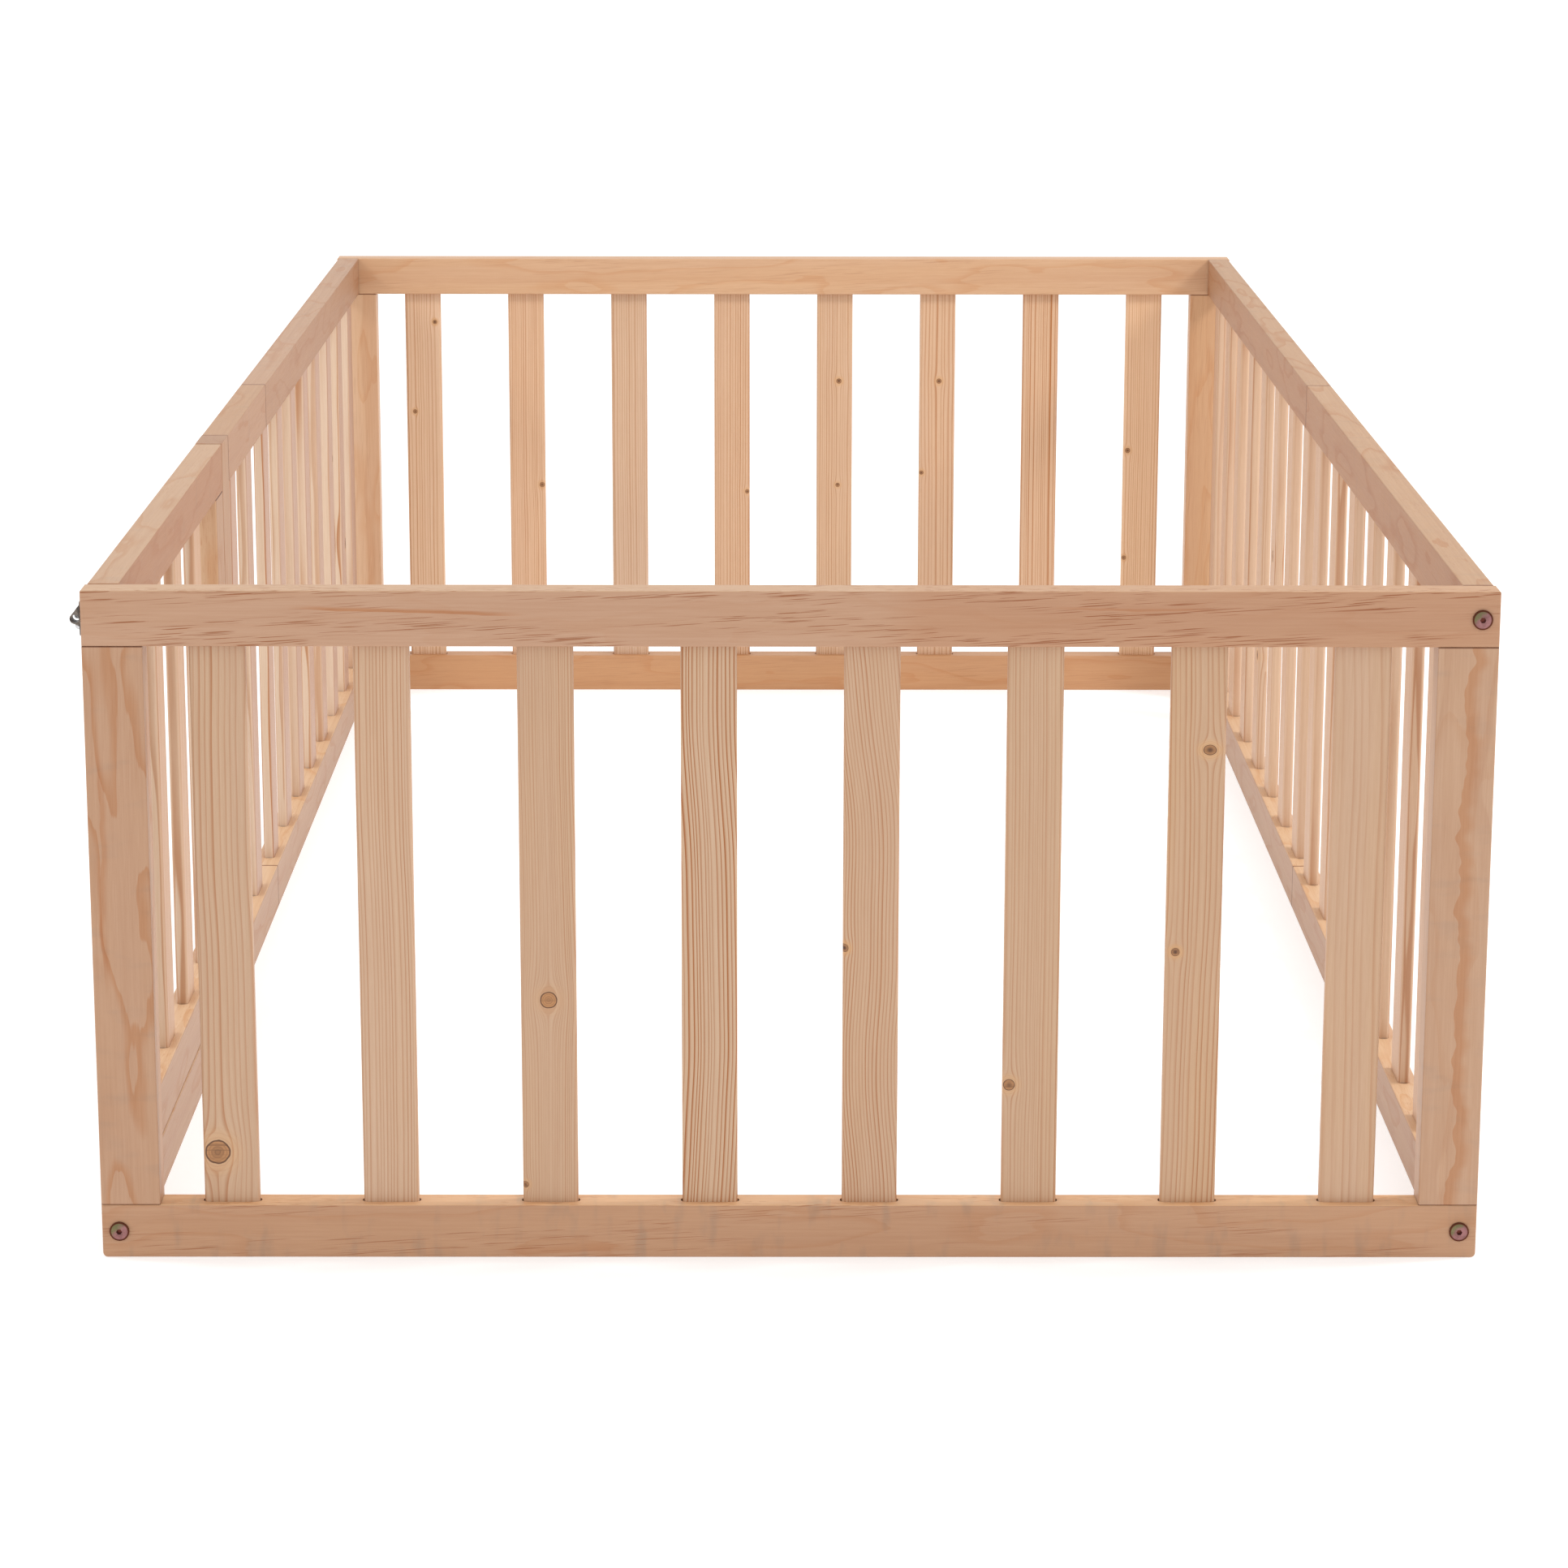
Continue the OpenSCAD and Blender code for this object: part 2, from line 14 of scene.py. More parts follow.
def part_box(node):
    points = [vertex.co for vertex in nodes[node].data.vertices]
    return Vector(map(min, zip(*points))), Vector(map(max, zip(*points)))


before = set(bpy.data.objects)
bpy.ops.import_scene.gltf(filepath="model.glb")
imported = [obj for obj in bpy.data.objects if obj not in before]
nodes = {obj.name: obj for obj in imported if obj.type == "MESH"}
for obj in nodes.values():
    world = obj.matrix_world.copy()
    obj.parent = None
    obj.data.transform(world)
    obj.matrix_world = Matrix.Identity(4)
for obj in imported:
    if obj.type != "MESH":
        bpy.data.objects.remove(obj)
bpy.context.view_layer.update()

MM = 0.001
X_AXIS, Y_AXIS, Z_AXIS = 0, 1, 2
UP, FORWARD, RIGHTWARD = (0.0, 0.0, 1.0), (0.0, -1.0, 0.0), (1.0, 0.0, 0.0)


# ---------------------------------------------------------------- shader building

class Net:
    """Adds shader nodes to one tree. Each method makes a node and returns its output."""

    def __init__(self, tree):
        self.tree = tree

    def put(self, socket, value):
        """Joins an output to an input, or sets the input's own value."""
        if isinstance(value, bpy.types.NodeSocket):
            self.tree.links.new(value, socket)
        elif value is not None:
            socket.default_value = value

    def node(self, kind, **settings):
        made = self.tree.nodes.new(kind)
        for name, value in settings.items():
            setattr(made, name, value)
        return made

    def math(self, operation, *values, clamp=False):
        made = self.node("ShaderNodeMath", operation=operation, use_clamp=clamp)
        for socket, value in zip(made.inputs, values):
            self.put(socket, value)
        return made.outputs[0]

    def vector(self, operation, *values):
        made = self.node("ShaderNodeVectorMath", operation=operation)
        for socket, value in zip(made.inputs, values):
            self.put(socket, value)
        return made.outputs["Value" if operation in ("LENGTH", "DOT_PRODUCT") else "Vector"]

    def scale(self, vector, amount):
        made = self.node("ShaderNodeVectorMath", operation="SCALE")
        self.put(made.inputs[0], vector)
        self.put(made.inputs["Scale"], amount)
        return made.outputs["Vector"]

    def split(self, vector):
        made = self.node("ShaderNodeSeparateXYZ")
        self.put(made.inputs[0], vector)
        return list(made.outputs)

    def join(self, x, y, z):
        made = self.node("ShaderNodeCombineXYZ")
        for socket, value in zip(made.inputs, (x, y, z)):
            self.put(socket, value)
        return made.outputs[0]

    def noise(self, vector, detail=2.0, roughness=0.5):
        made = self.node("ShaderNodeTexNoise")
        self.put(made.inputs["Vector"], vector)
        made.inputs["Scale"].default_value = 1.0
        made.inputs["Detail"].default_value = detail
        made.inputs["Roughness"].default_value = roughness
        return made.outputs["Factor"] if "Factor" in made.outputs else made.outputs["Fac"]

    def random(self, value):
        """A fixed random number, and three more as a colour, for each value."""
        made = self.node("ShaderNodeTexWhiteNoise", noise_dimensions="1D")
        self.put(made.inputs["W"], value)
        return made.outputs["Value"], made.outputs["Color"]

    def step(self, value, start, end, low=0.0, high=1.0):
        """A smooth step from low to high as value goes from start to end."""
        made = self.node("ShaderNodeMapRange", interpolation_type="SMOOTHSTEP")
        for socket, given in zip(made.inputs, (value, start, end, low, high)):
            self.put(socket, given)
        return made.outputs[0]

    def spread(self, value, low, high):
        """Stretches a 0 to 1 value over low to high."""
        return self.math("MULTIPLY_ADD", value, high - low, low)

    def mix(self, factor, first, second, blend="MIX"):
        made = self.node("ShaderNodeMix", data_type="RGBA", blend_type=blend)
        self.put(made.inputs[0], factor)
        self.put(made.inputs[6], first)
        self.put(made.inputs[7], second)
        return made.outputs[2]

    def group(self, tree, **values):
        made = self.node("ShaderNodeGroup", node_tree=tree)
        for name, value in values.items():
            self.put(made.inputs[name], value)
        return made.outputs


def new_group(name, inputs, outputs):
    """An empty node group with sockets of the given kinds, its Net, its input and output nodes."""
    tree = bpy.data.node_groups.new(name, "ShaderNodeTree")
    for direction, sockets in (("INPUT", inputs), ("OUTPUT", outputs)):
        for label, kind in sockets.items():
            tree.interface.new_socket(label, in_out=direction, socket_type="NodeSocket" + kind)
    net = Net(tree)
    entry = net.node("NodeGroupInput").outputs
    leave = net.node("NodeGroupOutput").inputs
    return tree, net, entry, leave


def colour(red, green, blue):
    """A colour given as it looks on screen, 0 to 255, in the shader's linear light."""
    def linear(level):
        share = level / 255
        return share / 12.92 if share <= 0.04045 else ((share + 0.055) / 1.055) ** 2.4
    return linear(red), linear(green), linear(blue), 1.0


# ---------------------------------------------------------------- pine

# Noises: how many per metre along the grain and across it, then detail and roughness.
RIPPLE_NOISE = (8.0, 42.0, 1.5)
STRENGTH_NOISE = (1.6, 26.0, 1.0)
HUE_NOISE = (3.0, 34.0, 2.0)
CONTOUR_NOISE = (3.6, 15.0, 2.6, 0.5)
CONTOUR_FRAY_NOISE = (24.0, 380.0, 1.0)
SMUDGE_NOISE = (75.0, 24.0, 2.0)
PATCH_NOISE = (5.0, 38.0, 2.0)
FIBRE_NOISE = (70.0, 2600.0, 2.0, 0.6)
THREAD_NOISE = (14.0, 620.0, 2.0)
CLUMP_NOISE = (6.5, 50.0, 1.0)
DASHES_PER_METRE = (23.0, 1250.0, 1250.0)
SWAYS_PER_METRE = 3.1
KNOT_RAGGED_PER_METRE = 160.0
KNOT_MOTTLES_PER_METRE = 900.0
VEIN_WAVES_PER_METRE = 13.0

# Growth: where in a ring the late wood starts and ends, and how much the ring gaps vary.
LATE_START, LATE_END = 0.2, 0.94
GAP_CHANGES_PER_RING, GAP_CHANGE = 0.31, 1.4
CONTOURS_PER_NOISE, CONTOUR_FRAY = 6.5, 0.12
CONTOUR_EDGE, CONTOUR_FADE = 0.03, 0.3
FIBRE_SHADE, THREAD_SHADE = 0.16, 0.2
SHADE_SHARES = (0.7, 1.15, 1.6)     # red, green, blue: darker wood is also more orange
DASH_SLANT = -0.06
KNOT_STREAM_SHARE = 0.62
KNOT_RAGGED = 0.09
VEIN_FADE_LENGTH = 45 * MM
PINE_IOR = 1.46

# Casts multiply a colour.
WARM_CAST = (1.0, 0.975, 0.91, 1.0)
CONTOUR_CAST = (0.88, 0.68, 0.48, 1.0)
SMUDGE_CAST = (0.72, 0.82, 0.96, 1.0)
# Painted shade in the joints where boards butt against each other.
SEAM_SHADE = (0.42, 0.30, 0.24, 1.0)
VEIN_CAST = (0.86, 0.60, 0.36, 1.0)
END_GRAIN = colour(196, 172, 150)
KNOT_HALO = colour(206, 160, 112)
KNOT_HALO_RING = colour(176, 118, 70)
KNOT_LIGHT = colour(190, 136, 88)
KNOT_DARK = colour(76, 44, 28)


def make_knot_group():
    """Bends the grain round a knot as a stream goes round a stone.

    Reach is how far a point is from the knot's middle, in knot radii. The bend reaches further
    along the grain than across it.
    """
    tree, net, entry, leave = new_group(
        "knot",
        {"Place": "Vector", "Centre": "Vector", "Radius": "Float", "Round": "Float"},
        {"Place": "Vector", "Reach": "Float"},
    )
    along, across, _ = net.split(net.vector("SUBTRACT", entry["Place"], entry["Centre"]))
    ragged = net.noise(net.scale(entry["Place"], KNOT_RAGGED_PER_METRE), detail=1.0)
    ragged = net.spread(ragged, -KNOT_RAGGED, KNOT_RAGGED)

    def distance(length_share):
        flat = net.join(net.math("MULTIPLY", along, length_share), across, 0.0)
        return net.math("DIVIDE", net.vector("LENGTH", flat), entry["Radius"])

    stream = distance(KNOT_STREAM_SHARE)
    square = net.math("MAXIMUM", net.math("MULTIPLY", stream, stream), 1.0)
    shift = net.math("DIVIDE", across, square)
    net.put(leave["Place"], net.vector("SUBTRACT", entry["Place"], net.join(0.0, shift, 0.0)))
    net.put(leave["Reach"], net.math("ADD", distance(entry["Round"]), ragged))
    return tree


def make_pine_group():
    """Pine in a board's own coordinates: along the grain, across the face, through the board."""
    tree, net, entry, leave = new_group(
        "pine",
        {
            "Place": "Vector", "Seed": "Float", "Pith across": "Float", "Pith depth": "Float",
            "Ring gap": "Float", "Wander": "Float", "Ripple": "Float", "Lines": "Float",
            "Sharpness": "Float", "Streaks": "Float", "Blotches": "Float", "Warmth": "Float",
            "Contours": "Float", "Smudges": "Float",
            "Early": "Color", "Late": "Color", "Streak colour": "Color",
        },
        {"Color": "Color", "Roughness": "Float", "Height": "Float"},
    )
    place, seed = entry["Place"], entry["Seed"]
    along, across, depth = net.split(place)
    shuffle = net.join(net.math("MULTIPLY", seed, 1.7), net.math("MULTIPLY", seed, 2.9), seed)

    def texture(per_metre_along, per_metre_across, detail=2.0, roughness=0.5):
        """Noise stretched along the grain, different for each seed."""
        scale = (per_metre_along, per_metre_across, per_metre_across)
        stretched = net.vector("MULTIPLY", place, scale)
        return net.noise(net.vector("ADD", stretched, shuffle), detail, roughness)

    def line_noise(value, per_unit, detail):
        """Noise along one number, different for each seed."""
        point = net.join(net.math("MULTIPLY", value, per_unit), 0.0, 0.0)
        return net.noise(net.vector("ADD", point, shuffle), detail)

    sway = net.math("SUBTRACT", line_noise(along, SWAYS_PER_METRE, 1.5), 0.5)
    sway = net.math("MULTIPLY", sway, entry["Wander"])
    ripple = net.math("SUBTRACT", texture(*RIPPLE_NOISE), 0.5)
    ripple = net.math("MULTIPLY", ripple, entry["Ripple"])
    from_pith = net.join(
        net.math("SUBTRACT", net.math("ADD", across, sway), entry["Pith across"]),
        net.math("SUBTRACT", depth, entry["Pith depth"]),
        0.0,
    )
    radius = net.math("ADD", net.vector("LENGTH", from_pith), ripple)
    rings = net.math("DIVIDE", radius, entry["Ring gap"])
    years = line_noise(rings, GAP_CHANGES_PER_RING, 1.0)
    rings = net.math("ADD", rings, net.spread(years, -GAP_CHANGE, GAP_CHANGE))
    year = net.math("FLOOR", rings)
    growth = net.math("FRACT", rings)
    year_random, _ = net.random(net.math("ADD", year, seed))

    rise = net.math("POWER", net.step(growth, LATE_START, LATE_END), entry["Sharpness"])
    late = net.math("MULTIPLY", rise, net.step(growth, LATE_END, 1.0, 1.0, 0.0))
    late = net.math("MULTIPLY", late, net.spread(year_random, 0.5, 1.25))
    late = net.math("MULTIPLY", late, net.spread(texture(*STRENGTH_NOISE), 0.3, 1.7))
    late = net.math("MULTIPLY", late, entry["Lines"], clamp=True)
    tone = net.mix(late, entry["Early"], entry["Late"])

    hue = net.step(texture(*HUE_NOISE), 0.35, 0.65, 0.0, entry["Warmth"])
    tone = net.mix(hue, tone, WARM_CAST, "MULTIPLY")

    field = net.math("MULTIPLY", texture(*CONTOUR_NOISE), CONTOURS_PER_NOISE)
    field = net.math("MULTIPLY_ADD", texture(*CONTOUR_FRAY_NOISE), CONTOUR_FRAY, field)
    flank = net.math("FRACT", field)
    fade = net.step(flank, CONTOUR_EDGE, CONTOUR_FADE, 1.0, 0.0)
    contour = net.math("MULTIPLY", net.step(flank, 0.0, CONTOUR_EDGE), fade)
    contour = net.math("MULTIPLY", contour, entry["Contours"])
    tone = net.mix(contour, tone, CONTOUR_CAST, "MULTIPLY")

    smudge = net.step(texture(*SMUDGE_NOISE), 0.52, 0.78, 0.0, entry["Smudges"])
    tone = net.mix(smudge, tone, SMUDGE_CAST, "MULTIPLY")

    patch = net.math("SUBTRACT", texture(*PATCH_NOISE), 0.5)
    patch = net.math("MULTIPLY", patch, entry["Blotches"])
    fibre = net.math("SUBTRACT", texture(*FIBRE_NOISE), 0.5)
    thread = net.math("SUBTRACT", texture(*THREAD_NOISE), 0.5)
    shade = net.math("MULTIPLY_ADD", fibre, FIBRE_SHADE, patch)
    shade = net.math("MULTIPLY_ADD", thread, THREAD_SHADE, shade)
    shades = (net.math("MULTIPLY_ADD", shade, share, 1.0) for share in SHADE_SHARES)
    tone = net.vector("MULTIPLY", tone, net.join(*shades))

    slant = net.join(0.0, net.math("MULTIPLY", along, DASH_SLANT), 0.0)
    leaning = net.vector("MULTIPLY", net.vector("ADD", place, slant), DASHES_PER_METRE)
    dash = net.step(net.noise(net.vector("ADD", leaning, shuffle), 1.0), 0.6, 0.67)
    clump = net.step(texture(*CLUMP_NOISE), 0.40, 0.58)
    dash = net.math("MULTIPLY", net.math("MULTIPLY", dash, clump), entry["Streaks"], clamp=True)
    tone = net.mix(dash, tone, entry["Streak colour"])

    net.put(leave["Color"], tone)
    rough = net.math("MULTIPLY_ADD", fibre, 0.22, 0.5)
    net.put(leave["Roughness"], net.math("MULTIPLY_ADD", late, -0.07, rough))
    height = net.math("MULTIPLY_ADD", fibre, 0.5, late)
    net.put(leave["Height"], net.math("SUBTRACT", height, dash))
    return tree


KNOT_GROUP = make_knot_group()
PINE_GROUP = make_pine_group()


class Wood:
    """How one board's pine looks. Gaps, wander and ripple are in metres."""

    def __init__(self, early, late, gap=3.2 * MM, pith=(90 * MM, 12 * MM), wander=5 * MM,
                 ripple=1.2 * MM, lines=0.6, sharpness=2.2, streaks=0.0, blotches=0.1, warmth=0.5,
                 contours=0.0, smudges=0.0, streak_colour=(150, 94, 58)):
        self.early, self.late, self.streak_colour = early, late, streak_colour
        self.gap, self.pith, self.wander, self.ripple = gap, pith, wander, ripple
        self.lines, self.sharpness = lines, sharpness
        self.streaks, self.blotches = streaks, blotches
        self.warmth, self.contours, self.smudges = warmth, contours, smudges

    def but(self, **changes):
        made = Wood.__new__(Wood)
        made.__dict__.update(self.__dict__)
        made.__dict__.update(changes)
        return made


class Knot:
    """A knot: where along the grain and across the face, its radius, darkness and length."""

    def __init__(self, along, across, radius, dark=0.6, length=1.0):
        self.along, self.across, self.radius, self.dark = along, across, radius, dark
        self.round = 1 / length


class Vein:
    """A resinous vein along the grain, in metres from the board's middle.

    It runs from start to end, climbs across the face by slope, and wavers by wobble.
    """

    def __init__(self, across, start, end, slope=0.0, width=4 * MM, wobble=8 * MM, depth=0.6):
        self.across, self.start, self.end, self.slope = across, start, end, slope
        self.width, self.wobble, self.depth = width, wobble, depth


def paint_vein(net, tone, place, vein, seed):
    """Paints one vein: sharp along one side, faded along the other and at its ends."""
    along, across, _ = net.split(place)
    wave = net.join(net.math("MULTIPLY_ADD", along, VEIN_WAVES_PER_METRE, seed), 0.0, 0.0)
    wave = net.noise(wave, 3.0, 0.6)
    course = net.math("MULTIPLY_ADD", net.math("SUBTRACT", wave, 0.5), vein.wobble, vein.across)
    course = net.math("MULTIPLY_ADD", along, vein.slope, course)
    offset = net.math("SUBTRACT", across, course)
    band = net.step(offset, -0.3 * MM, 0.4 * MM, 0.0, vein.depth)
    band = net.math("MULTIPLY", band, net.step(offset, 0.3 * vein.width, vein.width, 1.0, 0.0))
    for edge, fade in ((vein.start, VEIN_FADE_LENGTH), (vein.end, -VEIN_FADE_LENGTH)):
        band = net.math("MULTIPLY", band, net.step(along, edge, edge + fade))
    return net.mix(band, tone, VEIN_CAST, "MULTIPLY")


def board_axes(node):
    """A board's directions as axis numbers: along the grain, across its face, through it."""
    low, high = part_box(node)
    size = high - low
    return sorted(range(3), key=lambda axis: -size[axis])


def new_material(name):
    material = bpy.data.materials.new(name)
    material.use_nodes = True
    shader = material.node_tree.nodes["Principled BSDF"]
    return material, Net(material.node_tree), shader


def add_bump(net, shader, height, distance, strength):
    bump = net.node("ShaderNodeBump")
    bump.inputs["Strength"].default_value = strength
    bump.inputs["Distance"].default_value = distance
    net.put(bump.inputs["Height"], height)
    net.put(shader.inputs["Normal"], bump.outputs["Normal"])


def pine(node, wood, seed, axes=None, knots=(), row=None, odd=(), veins=(), seam=0.0, facing=()):
    """Gives a CAD node its pine.

    row = (first centre, pitch) is for several slats in one node. odd pairs the place of a slat
    in the row, from 0, with the cast for that slat; some of these casts are painted light. seam is
    how far the painted shade line reaches in from the ends, where the board butts against others
    and shade falls in the joint. The last argument pairs a direction with a cast of painted light
    or shade for the faces that point that way.
    """
    axes = axes or board_axes(node)
    low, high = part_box(node)
    centre = (low + high) / 2
    material, net, shader = new_material(node + "_pine")
    position = net.node("ShaderNodeTexCoord").outputs
    parts = net.split(position["Object"])
    place = net.join(*(parts[axis] for axis in axes))
    flat_across = parts[axes[1]]

    depths = []
    for knot in knots:
        made = net.group(
            KNOT_GROUP, Place=place, Centre=(knot.along, knot.across, 0.0),
            Radius=knot.radius, Round=knot.round,
        )
        place = made["Place"]
        depths.append((knot, made["Reach"]))

    middle = [centre[axis] for axis in axes]
    pith_across, gap, board_seed, lines = wood.pith[0], wood.gap, float(seed), wood.lines
    tint = None
    if row:
        first, pitch = row
        steps = net.math("DIVIDE", net.math("SUBTRACT", flat_across, first), pitch)
        index = net.math("ROUND", steps)
        chance, chances = net.random(net.math("ADD", index, float(seed)))
        one, two, three = net.split(chances)
        middle[1] = net.math("MULTIPLY_ADD", index, pitch, first)
        side = net.math("SIGN", net.math("SUBTRACT", one, 0.5))
        offset = net.spread(two, 0.4 * wood.pith[0], 1.6 * wood.pith[0])
        pith_across = net.math("MULTIPLY", side, offset)
        gap = net.spread(three, 0.65 * wood.gap, 1.35 * wood.gap)
        lines = net.spread(two, 0.8 * wood.lines, 1.1 * wood.lines)
        board_seed = net.math("MULTIPLY_ADD", chance, 40.0, float(seed))
        tint = net.spread(chance, 0.98, 1.03)
    place = net.vector("SUBTRACT", place, net.join(*middle))

    grain = net.group(
        PINE_GROUP, Place=place, Seed=board_seed,
        Early=colour(*wood.early), Late=colour(*wood.late),
        Lines=lines, Sharpness=wood.sharpness, Streaks=wood.streaks, Blotches=wood.blotches,
        Wander=wood.wander, Ripple=wood.ripple, Warmth=wood.warmth, Contours=wood.contours,
        Smudges=wood.smudges,
        **{
            "Pith across": pith_across, "Pith depth": wood.pith[1], "Ring gap": gap,
            "Streak colour": colour(*wood.streak_colour),
        },
    )
    tone = grain["Color"]
    if tint:
        tone = net.scale(tone, tint)
    # Casts for single slats; on some this is painted light.
    for slat, cast in odd:
        tone = net.mix(net.math("COMPARE", index, float(slat), 0.5), tone, cast, "MULTIPLY")
    for knot, depth in depths:
        tone = paint_knot(net, tone, place, depth, knot)
    for vein in veins:
        tone = paint_vein(net, tone, place, vein, float(seed))
    # Painted shade: the board darkens towards its ends, standing in for the shade in the joint
    # where it butts against others.
    if seam:
        half = (high - low)[axes[0]] / 2
        reach = net.math("ABSOLUTE", net.split(place)[0])
        joint_shade = net.step(reach, half - seam, half - 0.5 * seam)
        tone = net.mix(joint_shade, tone, SEAM_SHADE, "MULTIPLY")
    # Painted light and shade: each direction's cast for the faces that point that way.
    for direction, cast in facing:
        toward = net.vector("DOT_PRODUCT", position["Normal"], direction)
        tone = net.mix(net.step(toward, 0.5, 0.9), tone, cast, "MULTIPLY")
    end_face = net.math("ABSOLUTE", net.split(position["Normal"])[axes[0]])
    tone = net.mix(net.step(end_face, 0.6, 0.95, 0.0, 0.2), tone, END_GRAIN, "MULTIPLY")

    net.put(shader.inputs["Base Color"], tone)
    net.put(shader.inputs["Roughness"], grain["Roughness"])
    shader.inputs["IOR"].default_value = PINE_IOR
    add_bump(net, shader, grain["Height"], distance=0.12 * MM, strength=0.5)
    dress(node, material)


def paint_knot(net, tone, place, reach, knot):
    """Paints one knot: a ringed orange halo, mottled rings, a thin dark rim and a dark heart."""
    around = net.step(net.math("FRACT", net.math("MULTIPLY", reach, 2.4)), 0.55, 0.95, 0.0, 0.6)
    halo = net.mix(around, KNOT_HALO, KNOT_HALO_RING)
    tone = net.mix(net.step(reach, 1.0, 2.6, 0.8 * knot.dark, 0.0), tone, halo)
    rings = net.math("FRACT", net.math("MULTIPLY", reach, 4.0))
    rings = net.math("MULTIPLY", net.step(rings, 0.3, 0.95), 0.35)
    mottle = net.noise(net.scale(place, KNOT_MOTTLES_PER_METRE), detail=2.0)
    mottle = net.step(mottle, 0.42, 0.7, 0.0, 0.5)
    body = net.mix(net.math("MAXIMUM", rings, mottle), KNOT_LIGHT, KNOT_DARK)
    rim = net.step(reach, 0.8, 0.95, 0.0, 0.9)
    heart = net.step(reach, 0.1, 0.75, knot.dark, 0.3 * knot.dark)
    body = net.mix(net.math("MAXIMUM", rim, heart), body, KNOT_DARK)
    return net.mix(net.step(reach, 0.97, 1.05, 1.0, 0.0), tone, body)


def dress(node, material):
    """Puts one material on the whole of a CAD node."""
    mesh = nodes[node].data
    mesh.materials.clear()
    mesh.materials.append(material)


# Straw slats, tan rails and posts, warmer back panel. Early and late are the wood between the
# growth lines and the wood in them, as they look on screen.
STRAW = Wood(early=(196, 162, 134), late=(158, 94, 42), lines=0.7, sharpness=3.0)
TAN = Wood(
    early=(185, 145, 117), late=(160, 112, 80), gap=8 * MM, pith=(20 * MM, 70 * MM), lines=0.2,
    ripple=3 * MM, wander=22 * MM, streaks=1.2, blotches=0.12, warmth=0.4, contours=0.12,
)
PLAIN = TAN.but(
    early=(181, 138, 106), late=(150, 104, 74), lines=0.1, streaks=0.7, blotches=0.16, contours=0.3,
    smudges=0.6,
)
SIDE_TAN = TAN.but(early=(180, 141, 113), late=(156, 108, 76), streaks=0.35, contours=0.5)
SIDE_TOP = SIDE_TAN.but(early=(170, 129, 100), late=(146, 98, 66), smudges=0.25)
SIDE_LOW = SIDE_TAN.but(early=(174, 138, 112))
HINGE_SIDE = SIDE_TAN.but(early=(171, 133, 104))
GATE_TOP = SIDE_TOP.but(early=(164, 117, 84))
RIGHT_TOP = SIDE_TOP.but(early=(166, 121, 88), contours=0.7)
LEFT_REAR_TOP = SIDE_TOP.but(early=(166, 125, 96))
BLOTCHED = TAN.but(
    gap=5.5 * MM, pith=(4 * MM, 130 * MM), ripple=10 * MM, lines=0.2, sharpness=4.0, streaks=0.1,
    contours=0.75, smudges=0.3, early=(181, 141, 112),
)
WARM = TAN.but(early=(201, 161, 127), late=(176, 122, 82), streaks=0.25, warmth=0.7, contours=0.35)


def slat_knot(slat, offset, height, radius, dark=0.6, length=1.0):
    """A knot on an end-panel slat, offset sideways from the slat's own centre line."""
    low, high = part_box(slat)
    return Knot(height, (low.x + high.x) / 2 + offset, radius, dark, length)


FRONT_SLATS = (
    STRAW.but(gap=4.4 * MM, lines=0.54, sharpness=4.0, wander=22 * MM, pith=(-120 * MM, 12 * MM),
              early=(191, 157, 129)),
    STRAW.but(gap=2.9 * MM, lines=0.6, wander=12 * MM, pith=(130 * MM, 10 * MM)),
    STRAW.but(gap=1.7 * MM, lines=0.5, wander=8 * MM, pith=(-140 * MM, 20 * MM),
              early=(191, 156, 127)),
    STRAW.but(gap=2.9 * MM, lines=1.35, wander=38 * MM, ripple=2 * MM, pith=(100 * MM, 10 * MM),
              early=(196, 163, 134)),
    STRAW.but(gap=2.5 * MM, lines=0.66, wander=70 * MM, ripple=2.6 * MM, pith=(-60 * MM, 10 * MM),
              early=(193, 158, 129)),
    STRAW.but(gap=2.4 * MM, lines=0.55, wander=8 * MM, pith=(140 * MM, 10 * MM),
              early=(192, 157, 127)),
    STRAW.but(gap=3.8 * MM, lines=0.7, wander=16 * MM, pith=(-110 * MM, 20 * MM), warmth=0.9,
              early=(192, 156, 125)),
    STRAW.but(gap=6.2 * MM, lines=0.26, sharpness=4.0, wander=30 * MM, pith=(120 * MM, 20 * MM),
              early=(192, 157, 129), warmth=0.9),
)
# Knots: slat number, then the offset from the slat's centre line, height, radius, darkness.
FRONT_KNOTS = {
    1: ((-10 * MM, 82 * MM, 9.5 * MM, 0.5),),
    3: ((0.0, 203 * MM, 6.5 * MM, 0.25), (-19 * MM, 56 * MM, 2.5 * MM, 0.7)),
    5: ((-20 * MM, 244 * MM, 3.2 * MM, 1.0),),
    6: ((-16 * MM, 136 * MM, 4.5 * MM, 0.6),),
    7: ((9 * MM, 398 * MM, 5 * MM, 0.85, 0.8), (-13.5 * MM, 241 * MM, 3.2 * MM, 0.9)),
}
BACK_KNOTS = (
    (1, 14 * MM, 444 * MM, 2.5 * MM, 1.0), (1, -11 * MM, 337 * MM, 2.5 * MM, 0.8),
    (2, 17 * MM, 249 * MM, 3 * MM, 0.7), (4, 18 * MM, 241 * MM, 2.5 * MM, 0.8),
    (5, 5 * MM, 374 * MM, 3 * MM, 0.9), (5, 4 * MM, 249 * MM, 2.5 * MM, 0.7),
    (6, 2 * MM, 374 * MM, 3 * MM, 0.9), (6, -18 * MM, 264 * MM, 2.5 * MM, 0.8),
    (8, -16 * MM, 291 * MM, 3 * MM, 0.8), (8, -18 * MM, 161 * MM, 2.5 * MM, 0.7),
)
for number, look in enumerate(FRONT_SLATS, start=1):
    slat = f"front_slat_{number}"
    knots = [slat_knot(slat, *facts) for facts in FRONT_KNOTS.get(number, ())]
    pine(slat, look, seed=number * 3.3, knots=knots)

SIDE_STRAW = STRAW.but(early=(201, 167, 139), late=(160, 96, 46), lines=0.75)
